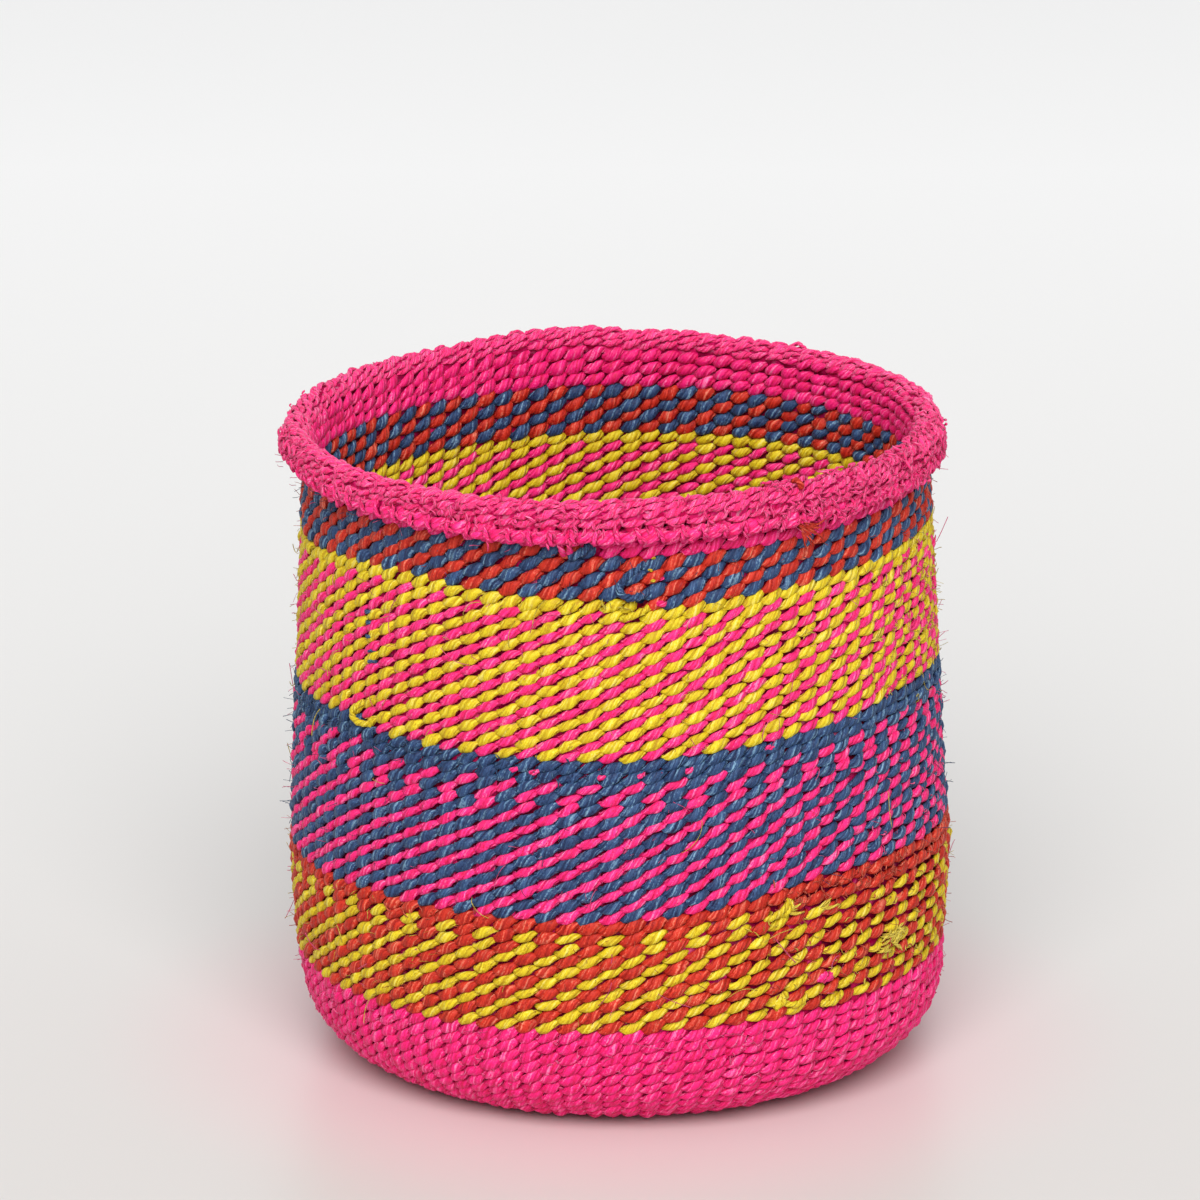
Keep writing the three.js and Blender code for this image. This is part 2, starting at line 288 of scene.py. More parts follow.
def makePiece(name, cords, material, nodes=()):
    mesh = bpy.data.meshes.new(name)
    points = np.concatenate([cord["points"] for cord in cords])
    lay = np.concatenate([cord["lay"] for cord in cords])
    proud = np.concatenate([cord["proud"] for cord in cords])
    corners, sizes, offset = [], [], 0
    for cord in cords:
        corners.append((cord["quads"] + offset).ravel())
        sizes += [4] * len(cord["quads"])
        for cap in cord["caps"]:
            corners.append(cap + offset)
            sizes.append(len(cap))
        offset += len(cord["points"])
    corners = np.concatenate(corners)
    starts = np.concatenate([[0], np.cumsum(sizes)[:-1]])
    mesh.vertices.add(len(points))
    mesh.vertices.foreach_set("co", (points * mm).ravel())
    mesh.loops.add(len(corners))
    mesh.loops.foreach_set("vertex_index", corners)
    mesh.polygons.add(len(sizes))
    mesh.polygons.foreach_set("loop_start", starts)
    mesh.update(calc_edges=True)
    mesh.attributes.new("lay", "FLOAT_VECTOR", "POINT").data.foreach_set("vector", lay.ravel())
    mesh.attributes.new("proud", "FLOAT", "POINT").data.foreach_set("value", proud)
    mesh.shade_smooth()
    mesh.materials.append(material)
    piece = bpy.data.objects.new(name, mesh)
    scene.collection.objects.link(piece)
    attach(piece, "root")
    if nodes:
        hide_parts(*nodes)


# From an sRGB hex value to Blender's linear colour
def linear(colour):
    parts = [int(colour[i:i + 2], 16) / 255 for i in (1, 3, 5)]
    return [part / 12.92 if part <= 0.04045 else ((part + 0.055) / 1.055) ** 2.4
            for part in parts] + [1]


def addNode(tree, kind, links=(), **settings):
    node = tree.nodes.new(kind)
    for name, value in settings.items():
        if name.startswith("set_"):
            node.inputs[int(name[4:])].default_value = value
        else:
            setattr(node, name, value)
    for socket, source in links:
        tree.links.new(source, node.inputs[socket])
    return node


# Tones of a dyed cord: of the fibres; between the fibres, which also gives the painted shade in the
# groove between the plies; a painted highlight; and painted shade deep in the weave
sisal = {
    "pink": ("#FB2A88", "#C80042", "#FFB0D2", "#44000E"),
    "soft pink": ("#F41C80", "#C00040", "#FFA4CC", "#8A0030"),
    # lighter than the pink: the rim's wear, and the light from above on it painted into its colour
    "worn pink": ("#FE3C8C", "#D2044C", "#FFB4D4", "#92003A"),
    "red": ("#CC301A", "#8C0600", "#F4A080", "#4C0200"),
    "yellow": ("#DECA1A", "#AE8808", "#F2E68C", "#6C4400"),
    "blue": ("#32507A", "#08143A", "#9CC8DC", "#050A28"),
    "fibres": (0.5, 4.5, 3.0),      # width, length and detail: coarser than sisal's own fibres,
                                    # which are too fine to show
    "patches": (2.5, 9.0, 2.0),     # dye that took unevenly along the cord
    "masks": {              # from and to of what is read, and the tone's share at either end
        "crease": (0.0, 0.45, 0.0, 1.0),     # the groove between the two plies
        "streak": (0.3, 0.55, 0.0, 1.0),
        # painted highlights: the light tone laid along the fibre streaks
        "glint": (0.56, 0.74, 0.0, 0.75),
        "uneven": (0.3, 0.7, 0.35, 0.0),
        # painted shade in the groove between the plies
        "shade": (0.0, 0.45, 0.4, 0.0),      # the groove again, as a darker tone
        # painted shade, deep in the weave where a point is least proud
        "sunkShade": (0.05, 0.45, 0.95, 0.0),     # deep in the weave
    },
    "relief": 0.25,         # height of the fibres and of the plies
    "roughness": 0.6,
    "shine": 0.3,
    # shine and fuzz fade out where the painted shade is strong
    "matt": 0.5,            # past this much of the sunk tone a cord has no shine or fuzz
    "fuzzRoughness": 0.4,
    "fuzz": 0.09,           # of a firmly spun cord
    "softFuzz": 0.13,
    "wornFuzz": 0.35,
    # painted light: share of the highlight tone painted into a loose fibre, for the light through
    # it
    "looseGlow": 0.3,      # share of the light tone in a loose fibre
}


def sisalMaterial(colour, finish="spun", lighter=0.0, fuzz=sisal["fuzz"]):
    # Dyed two-ply sisal, hand spun: stiff fibres with a slight shine, which show as fine streaks.
    # Highlights are painted along the streaks, and shade is painted into the ply groove and deep in
    # the weave. A loose fibre is painted lighter, standing in for the light that shines through it.
    # Worn cords have a fuzz that looks pale from the side.
    base, deep, highlight, shadeTone = [linear(tone) for tone in sisal[colour]]
    base = [part + (light - part) * lighter for part, light in zip(base, highlight)]
    material = bpy.data.materials.new(f"{finish}_sisal_{colour.split()[-1]}")
    material.use_nodes = True
    tree = material.node_tree
    shader = tree.nodes["Principled BSDF"]
    lay = addNode(tree, "ShaderNodeAttribute", attribute_name="lay").outputs["Vector"]
    proud = addNode(tree, "ShaderNodeAttribute", attribute_name="proud").outputs["Fac"]
    patterns = []
    for width, length, detail in (sisal["fibres"], sisal["patches"]):
        stretched = addNode(tree, "ShaderNodeVectorMath", [(0, lay)], operation="MULTIPLY",
                            set_1=(1 / width, 1 / width, 1 / length)).outputs[0]
        patterns.append(addNode(tree, "ShaderNodeTexNoise", [("Vector", stretched)],
                                set_2=1.0, set_3=detail).outputs["Fac"])
    fibres, patches = patterns
    across = addNode(tree, "ShaderNodeSeparateXYZ", [(0, lay)]).outputs[0]
    groove = addNode(tree, "ShaderNodeMath", [(0, across)], operation="ABSOLUTE").outputs[0]
    readings = {"crease": groove, "streak": fibres, "glint": fibres, "uneven": patches,
                "shade": groove, "sunkShade": proud}
    masks = {}
    for name, reading in readings.items():
        low, high, first, last = sisal["masks"][name]
        masks[name] = addNode(tree, "ShaderNodeMapRange", [(0, reading)],
                              set_1=low, set_2=high, set_3=first, set_4=last).outputs[0]
    mixed = addNode(tree, "ShaderNodeMix", [(0, masks["streak"])], data_type="RGBA",
                    set_6=deep, set_7=base).outputs[2]
    for name, tone in (("glint", highlight), ("uneven", deep), ("shade", deep), ("sunkShade", shadeTone)):
        mixed = addNode(tree, "ShaderNodeMix", [(0, masks[name]), (6, mixed)], data_type="RGBA",
                        set_7=tone).outputs[2]
    tree.links.new(mixed, shader.inputs["Base Color"])
    relief = addNode(tree, "ShaderNodeMath", [(0, fibres), (1, masks["crease"])],
                     operation="ADD").outputs[0]
    bump = addNode(tree, "ShaderNodeBump", [("Height", relief)],
                   set_0=1.0, set_1=sisal["relief"] * mm).outputs[0]
    tree.links.new(bump, shader.inputs["Normal"])
    for socket, most in (("Specular IOR Level", sisal["shine"]), ("Sheen Weight", fuzz)):
        amount = addNode(tree, "ShaderNodeMapRange", [(0, masks["sunkShade"])],
                         set_1=0.0, set_2=sisal["matt"], set_3=most, set_4=0.0).outputs[0]
        tree.links.new(amount, shader.inputs[socket])
    shader.inputs["Roughness"].default_value = sisal["roughness"]
    shader.inputs["Sheen Roughness"].default_value = sisal["fuzzRoughness"]
    shader.inputs["Sheen Tint"].default_value = highlight
    return material


dyed = {colour: sisalMaterial(colour) for colour in ("pink", "red", "yellow", "blue")}
dyed["soft pink"] = sisalMaterial("soft pink", "fuzzy", fuzz=sisal["softFuzz"])
wornLitPink = sisalMaterial("worn pink", "worn", fuzz=sisal["wornFuzz"])
print("materials made")

# Twined wefts
weft = {
    "swing": 1.4,           # how far a strand moves out and in, from the middle of the wall
    "swingPower": 0.6,      # under 1 it stays out for most of a stitch
    "crossingOut": 0.45,    # how far out two strands cross, which draws the stitches out
    "fullRoom": 4.0,        # a shorter stitch than this swings less, as in the floor
    "leastSwing": 0.6,
    "coverSlant": 0.4,      # of the rim's cover, as a share of the round's height
    "leftSlant": 0.36,      # how much steeper stitches lie on the left, and flatter on the right
    "straight": 0.95,       # 1 would take a strand straight from one warp to the next
    "rimSlant": 0.62,
    "halfThick": 0.88,
    "tallShare": 0.58,      # half of its height, as a share of the round's
    "mostTall": 1.64,
    "floorWaist": 0.2,
    "waist": 0.53,          # how much narrower a strand is where it dives between two warps
    "waistPower": 0.9,
    "plump": {"pink": 0.96, "soft pink": 1.0, "red": 1.01, "yellow": 0.97, "blue": 1.03},
    "rimTall": 1.04,
    "rimShare": 0.72,       # of the wall's sizes
    "rings": {"floor": 4, "wall": 6, "rim": 9},     # in a stitch
    "extraWidth": 0.8,      # stitches over which an extra crossing is made
    "jitter": 0.19,
    "rightJitter": 0.4,     # how much more uneven the stitches are on the right
    "tallJitter": 0.6,
    "rimJitter": 0.28,      # where the rim has been handled most, left and right
    "frontWear": 0.9,       # cosine of the angle over which the front of the rim is less worn
    "wearRise": 5,
    "backWear": 0.5,        # the back has this much less of it
    "tail": 0.007,          # turns over which an end tucks into the wall
    "tuck": 0.6,            # and how deep
}


# Where the warps stand. They cross in the middle of the floor in two layers. The two strands of a
# long warp part on the way out, a folded extra warp comes in between them, and one odd warp makes
# the count odd.
warps = {
    "crossing": 6,          # long warps in each layer
    "inGroup": 4,           # two strands of a long warp and two of the folded one between them
    "pitch": 3.99,          # between long warps where they cross
    "strandPitch": 1.54,    # between the two strands of a long warp
    "matEdge": 12.8,        # where they start to part, from the middle of the floor
    "layerShift": 0.8,
    "partingRadius": 34.0,
    "partingStep": 4.0,     # from there on a strand runs straight out
    "addedRadius": 41.7,
    "foldDepth": 1.1,       # of a folded warp's bend, on the inside of that radius
    "foldTurn": 0.0015,     # from the middle of the fold to each of its strands
    "halfThick": 0.62,
    "width": 0.58,          # half of a warp, as a share of its place in the wall: it's pressed wide
    "leastHalf": 0.95,
    "matHalf": 1.25,        # wide enough to close the middle of the floor
    # These proud values set how much painted shade a warp takes: the lower, the darker
    "proud": 0.04,          # warps lie deep in the weave
    "footProud": 0.28,      # less so in the foot and floor
    "matProud": 0.6,        # and bare in the middle of the floor
    # at random a warp is spared the painted shade, so it shows bright
    "spots": 0.36,          # where one shows bright between the stitches
    "rareSpots": 5,         # a higher power leaves fewer of them
    "rimProud": 0.25,
    "floorSpacing": 1.6,    # of the rings of points along a warp
    "heelSpacing": 2.5,
    "wallSpacing": 5.0,
    "foldRings": 6,
}
groups = 4 * warps["crossing"]      # a long warp has two ends, in two layers


# In turns from the front
def warpTurn(group, place):
    return (0.25 + (warps["inGroup"] * (group - groups / 8) + place + 0.5) / warpCount) % 1


# Radius from which a zone of the floor starts, and the warps that its stitches pass
warpZones = (
    (shape["floorStart"], sorted(warpTurn(group, 1.5) for group in range(groups))),
    (warps["partingRadius"], sorted(warpTurn(group, place)
                                    for group in range(groups) for place in (0, 3))),
    (warps["addedRadius"], sorted(warpTurn(0, place) for place in range(warpCount))),
)


# How many warps of one zone a strand has passed after some turns
def passed(turns, places):
    count = len(places)
    around = np.array([places[-1] - 1, *places, places[0] + 1])
    return count * np.floor(turns) + np.interp(turns % 1, around, np.arange(-1, count + 1))


# Half turns of the pair of strands round each other, after some turns round the basket
def crossings(turns):
    rise = (wallStart + heightOf("footTop", 0)) / (rounds["footTop"] - rounds["floorStart"])
    total = passed(turns, warpZones[-1][1])
    shift = 0
    for zone in (1, 0):
        places, (radius, nextPlaces) = warpZones[zone][1], warpZones[zone + 1]
        change = rounds["floorStart"] + (radius - shape["floorStart"]) / rise
        shift += np.floor(passed(change, nextPlaces) - passed(change, places))
        total = np.where(turns < change, passed(turns, places) + shift, total)
    for place in rounds["extraCrossings"]:
        share = np.clip((turns - place) * warpCount / weft["extraWidth"] + 0.5, 0, 1)
        total = total + share * share * (3 - 2 * share)
    return total


def weftCord(start, end, second, colour, plump, slantShare, part):
    perStitch = weft["rings"][part]
    dense = np.linspace(start, end, int((end - start) * warpCount * perStitch) + 2)
    denseWinds = crossings(dense)
    count = int((denseWinds[-1] - denseWinds[0]) * perStitch) + 2
    turns = np.interp(np.linspace(denseWinds[0], denseWinds[-1], count), denseWinds, dense)
    winds = crossings(turns)
    wind = np.pi * (winds + second)
    angle = 2 * np.pi * turns
    point, outward, onward = surface(along(turns), angle)
    inRim = np.clip(turns - rounds["foldStart"] + 0.5, 0, 1)
    fine = (1 + inRim * (weft["rimShare"] - 1)) * weft["plump"][colour]
    pitch = along(turns + 0.5) - along(turns - 0.5)

    # Unevenness of a hand-made weave, from stitch to stitch
    stitches = int(winds[-1] - winds[0]) * 2 + 4
    knots = np.linspace(turns[0], turns[-1], stitches)
    worn = inRim * np.clip((weft["frontWear"] - np.cos(angle)) * weft["wearRise"], 0, 1)
    worn = worn * (1 - weft["backWear"] * np.clip(-np.cos(angle), 0, 1))
    jitter = weft["jitter"] * (1 + weft["rightJitter"] * np.clip(np.sin(angle), 0, 1))
    jitter += worn * (weft["rimJitter"] - weft["jitter"])
    wander = [np.interp(turns, knots, rng.normal(0, 1, stitches)) * jitter for _ in range(3)]

    # Out and in, round the other strand
    inOut = np.sign(np.cos(wind)) * np.abs(np.cos(wind)) ** weft["swingPower"]
    room = np.gradient(angle, wind) * np.pi * np.hypot(point[:, 0], point[:, 1])    # for one stitch
    tuck = np.clip(1 - np.minimum(turns - start, end - turns) / weft["tail"], 0, 1)
    swing = weft["swing"] * inOut + weft["crossingOut"] * (1 - inRim) * (1 - np.abs(inOut))
    swing = swing * fine * (1 - tuck) * np.clip(room / weft["fullRoom"], weft["leastSwing"], 1)
    swing = swing - weft["tuck"] * tuck + wander[0]

    # Up and down, along the slant of the stitches
    lean = pitch * slantShare * (1 - weft["leftSlant"] * np.sin(angle))
    lean += inRim * (weft["rimSlant"] - lean)
    straight = weft["straight"]
    slant = lean * np.arcsin(straight * np.sin(wind)) / np.arcsin(straight) + wander[1]
    path = point + outward * swing[:, None] + onward * slant[:, None]

    # Thickness
    height = np.minimum(pitch * weft["tallShare"], weft["mostTall"])
    height = (height + inRim * (weft["rimTall"] - height)) * weft["plump"][colour] * plump
    waist = weft["floorWaist"] if part == "floor" else weft["waist"]
    leaf = np.abs(np.cos(wind)) ** weft["waistPower"]
    tall = height * (1 - waist * (1 - leaf)) + weft["tallJitter"] * wander[2]
    style = "rim" if part == "rim" else "wall"
    return sweep(path, outward, weft["halfThick"] * fine, tall, style=style, offset=swing)


# Colour, first and last round, which strand of the pair it is, how thick it is next to the others,
# and how steep its stitches lie, as a share of the round's height
bands = {
    "floor_weft_under": ("pink", rounds["floorStart"], heelStart, 0, 1.0, 0.34),
    "floor_weft_over": ("pink", rounds["floorStart"], heelStart, 1, 1.0, 0.34),
    "foot_weft_outer": ("soft pink", heelStart, rounds["footTop"], 0, 1.0, 0.36),
    "foot_weft_inner": ("soft pink", heelStart, rounds["footTop"], 1, 1.0, 0.36),
    "band1_red_weft": ("red", rounds["footTop"], rounds["firstTop"], 0, 0.97, 0.3),
    "band1_yellow_weft": ("yellow", rounds["footTop"], rounds["plainRed"], 1, 0.84, 0.3),
    "band1_second_red_weft": ("red", rounds["plainRed"], rounds["firstTop"], 1, 1.0, 0.3),
    "band2_blue_weft": ("blue", rounds["firstTop"], rounds["secondTop"], 0, 1.0, 0.39),
    "band2_pink_weft": ("pink", rounds["firstTop"], rounds["plainBlue"], 1, 0.95, 0.39),
    "band2_second_blue_weft": ("blue", rounds["plainBlue"], rounds["secondTop"], 1, 1.0, 0.39),
    "band3_yellow_weft": ("yellow", rounds["secondTop"], rounds["thirdTop"], 0, 1.0, 0.37),
    "band3_pink_weft": ("pink", rounds["secondTop"], rounds["plainYellow"], 1, 0.88, 0.37),
    "band3_second_yellow_weft": ("yellow", rounds["plainYellow"], rounds["thirdTop"], 1, 1.0, 0.37),
    "band4_blue_weft": ("blue", rounds["thirdTop"], rounds["fourthTop"], 0, 1.0, 0.37),
    "band4_red_weft": ("red", rounds["thirdTop"], rounds["fourthTop"], 1, 1.0, 0.37),
    "collar_weft_outer": ("soft pink", rounds["fourthTop"], rounds["foldStart"], 0, 1.0, 0.38),
    "collar_weft_inner": ("soft pink", rounds["fourthTop"], rounds["foldStart"], 1, 1.0, 0.38),
}


def addBand(name):
    colour, start, end, second, plump, slant = bands[name]
    part = "wall" if start >= heelStart else "floor"
    cord = weftCord(start, end, second, colour, plump, slant, part)
    makePiece(name, [cord], dyed[colour], [name])


def addRimCover():
    start, end = rounds["foldStart"], rounds["coverEnd"]
    cords = [weftCord(start, end, second, "pink", 1.0, weft["coverSlant"], "rim")
             for second in (0, 1)]
    makePiece("rim_cover_weft", cords, wornLitPink, ["rim_cover_weft"])


for name in bands:
    addBand(name)
addRimCover()
print("wefts twined")

# Rim: the warp ends come out of the roll, run to the right, and a binding cord holds them down
hem = {
    "emergeHeight": 147.7,
    "radius": 76.5,
    "depth": 1.2,           # from the roll's middle to an end's start, and how deep it tucks in
    "rise": 2.0,            # how far an end climbs on its way to the right
    "reach": 2.4,           # warp spacings that it runs along
    "reachSpread": (0.85, 1.15),
    "dropSpread": (-0.4, 0.4),
    "outSpread": (-0.35, 0.35),
    "stations": (0.0, 0.12, 0.3, 0.5, 0.7, 0.85, 1.0),      # along an end, from 0 to 1
    "emerged": 0.12,        # share of its length at which it's out
    "tucking": 0.85,        # and from which it goes back in
    "spacing": 0.9,         # of the rings of points along it
    "halfThick": 0.86,
    "halfTall": 1.12,
    "pinch": 0.75,          # how far a stitch of the binding pulls the ends in
    # painted shade on the warp ends in the rim, darkest under each stitch of the binding
    "tailProud": 0.5,
    "pinchShade": 0.4,
    "bindingRadius": 76.5,
    "bindingHeight": 148.7,
    "bindingReach": 1.5,
    "bindingTall": 1.7,
    "bindingThick": 0.5,
    "bindingHalf": 0.66,
    "bindingRings": 12,     # in a loop
    "leanSpread": (-0.25, 0.15),    # of a loop's foot and top to the sides, in warp spacings
    "leanShare": 0.6,
    "depthSpread": (-0.35, 0.15),
}


# Points between the corners of a line, with the corners worn round
def rounded(corners, spacing, wear):
    corners = np.array(corners, float)
    length = np.concatenate([[0], np.cumsum(np.linalg.norm(np.diff(corners, axis=0), axis=1))])
    stations = np.linspace(0, length[-1], int(length[-1] / spacing) + 2)
    line = np.stack([np.interp(stations, length, corners[:, axis]) for axis in range(3)], -1)
    for _ in range(wear):
        line[1:-1] = (line[:-2] + line[1:-1] * 2 + line[2:]) / 4
    return line


# The end of a warp, from the roll to the right: its points and where the binding's stitches lie
def hemEnd(angle):
    lean = rimHeight(angle) - shape["rimMiddle"] + heightOf("hemLift", angle)
    reach = rng.uniform(*hem["reachSpread"]) * hem["reach"] * 2 * np.pi / warpCount
    drop = rng.uniform(*hem["dropSpread"])
    outside = hem["radius"] + rng.uniform(*hem["outSpread"])
    inside = shape["foldRadius"] + hem["depth"]
    tail = []
    for share in hem["stations"]:
        way = angle + share * reach
        emerge = min(share / hem["emerged"], 1)
        tuck = max(share - hem["tucking"], 0) / (1 - hem["tucking"])
        radius = inside + emerge * (outside - inside) - hem["depth"] * tuck
        radius += shape["rimOval"] * (1 - math.sin(way))
        level = hem["emergeHeight"] + lean + drop + share * hem["rise"]
        tail.append([radius * math.sin(way), -radius * math.cos(way), level])
    tail = rounded(tail, hem["spacing"], wear=1)
    stitch = np.cos(warpCount * np.arctan2(tail[:, 0], -tail[:, 1]))    # 1 under a stitch
    return tail, stitch


# A warp from a radius in the floor to its end in the rim: its points and their way out, a proud
# value for each that sets how much painted shade it takes, and which lie in the end
def wallLeg(turn, startRadius):
    angle = 2 * np.pi * turn
    startPlace = startRadius - shape["floorStart"]
    fold = wallStart + rimHeight(angle)
    heel = np.arange(startPlace, floorLength + heelLength, warps["heelSpacing"])
    wall = np.arange(floorLength + heelLength, fold, warps["wallSpacing"])
    roll = fold + np.linspace(0, foldLength, warps["foldRings"])
    places = np.concatenate([heel, wall, roll])
    points, outward, _ = surface(places, np.full_like(places, angle))
    tail, stitch = hemEnd(angle)
    inward = -unit(tail * (1, 1, 0))
    tail += inward * (hem["pinch"] * stitch)[:, None]
    shown = warps["proud"] + warps["spots"] * rng.random(len(points)) ** warps["rareSpots"]
    shown = np.where(places < wallStart + heightOf("footTop", 0), warps["footProud"], shown)
    shown[-len(roll):] = warps["rimProud"]
    proud = np.concatenate([shown, hem["tailProud"] - hem["pinchShade"] * stitch])
    inTail = np.arange(len(proud)) >= len(points)
    return np.concatenate([points, tail]), np.concatenate([outward, inward]), proud, inTail


# The same after the points of its start in the floor, as a cord
def warpCord(start, turn, startRadius):
    line, outward, proud, inTail = wallLeg(turn, startRadius)
    line = np.concatenate([start, line])
    outward = np.concatenate([np.tile([0, 0, -1.0], (len(start), 1)), outward])
    radius = np.hypot(line[:, 0], line[:, 1])
    inMiddle = radius[:len(start)] < shape["floorStart"]
    proud = np.concatenate([np.where(inMiddle, warps["matProud"], warps["footProud"]), proud])
    inTail = np.concatenate([np.full(len(start), False), inTail])
    least = np.where(radius < warps["partingRadius"], warps["matHalf"], warps["leastHalf"])
    half = np.maximum(radius * 2 * np.pi / warpCount * warps["width"], least)
    half = np.where(inTail, hem["halfTall"], half)
    thick = np.where(inTail, hem["halfThick"], warps["halfThick"])
    cord = sweep(line, outward, thick, half, style="warp")
    cord["proud"] = proud.repeat(cordShape["sides"])
    return cord


def floorPoint(radius, turn):
    angle = 2 * np.pi * turn
    return [radius * math.sin(angle), -radius * math.cos(angle), shape["skin"]]


def addLongWarp(layer, rank):
    cords = []
    shift = warps["layerShift"] * (1 if layer == 0 else -1)
    half = (warps["crossing"] - 1) / 2 * warps["pitch"]
    straightFrom = warps["partingRadius"] + warps["partingStep"]
    for side in (-1, 1):
        offset = rank * warps["pitch"] - half + side * warps["strandPitch"] / 2
        for end in (-1, 1):
            near, far = layer * warps["crossing"] + rank, (layer + 3) * warps["crossing"] - 1 - rank
            turn = warpTurn(near if end > 0 else far, 3 if side * end > 0 else 0)
            level = shape["skin"] + shift
            inner = [(0, offset, level), (end * warps["matEdge"], offset, level)]
            if layer == 1:
                inner = [(-y, x, level) for x, y, level in inner]
            outer = [floorPoint(warps["partingRadius"], turn), floorPoint(straightFrom, turn)]
            approach = rounded([*inner, *outer], warps["floorSpacing"], wear=2)
            cords.append(warpCord(approach[:-2], turn, straightFrom))
    name = f"long_warp_{layer * warps['crossing'] + rank + 1:02d}"
    makePiece(name, cords, dyed["pink"], [name])


def addAddedWarp(group):
    name = f"added_warp_{group + 1:02d}"
    radius = warps["addedRadius"]
    cords = []
    for side, place in ((-1, 1), (1, 2)):
        bendTurn = warpTurn(group, 1.5) + side * warps["foldTurn"]
        bend = floorPoint(radius - warps["foldDepth"], bendTurn)
        cords.append(warpCord([bend], warpTurn(group, place), radius))
    makePiece(name, cords, dyed["pink"], [name])


def addOddWarp():
    turn = warpTurn(groups, 0)
    start = floorPoint(warps["addedRadius"] - warps["foldDepth"], turn)
    cord = warpCord([start], turn, warps["addedRadius"])
    makePiece("odd_warp", [cord], dyed["pink"], ["odd_warp"])


for layer in (0, 1):
    for rank in range(warps["crossing"]):
        addLongWarp(layer, rank)
for group in range(groups):
    addAddedWarp(group)
addOddWarp()
print("warps set up")


# A loop for each warp: half of it lies over the ends, and the rest runs on unseen inside the roll
def bindingCord():
    share = np.arange(warpCount * hem["bindingRings"]) / hem["bindingRings"]
    loop = np.floor(share)
    phase = (share - loop) * 2 * np.pi
    hidden = np.clip((share - loop - 0.5) * 2, 0, 1)
    lean = rng.uniform(*hem["leanSpread"], warpCount + 1)[loop.astype(int)] * hem["leanShare"]
    depth = rng.uniform(*hem["depthSpread"], warpCount + 1)[loop.astype(int)]
    angle = 2 * np.pi * (loop + hidden + lean * np.cos(phase) * (hidden == 0)) / warpCount
    radius = hem["bindingRadius"] + (hem["bindingReach"] + depth) * np.sin(phase)
    radius += shape["rimOval"] * (1 - np.sin(angle))
    level = hem["bindingHeight"] + hem["bindingTall"] * np.cos(phase)
    level += rimHeight(angle) - shape["rimMiddle"] + heightOf("hemLift", angle)
    path = np.stack([radius * np.sin(angle), -radius * np.cos(angle), level], -1)
    outward = np.stack([np.sin(angle), -np.cos(angle), 0 * angle], -1)
    return sweep(path, outward, hem["bindingThick"], hem["bindingHalf"], style="rim")


makePiece("rim_hem_cord", [bindingCord()], dyed["pink"], ["rim_hem_cord"])
print("rim bound")


# Routes of short stitches: each place, and the steps across, up and out that a stitch takes there
def dots(places, steps):
    return [[(turn + across, level + up, out) for across, up, out in steps]
            for turn, level in places]


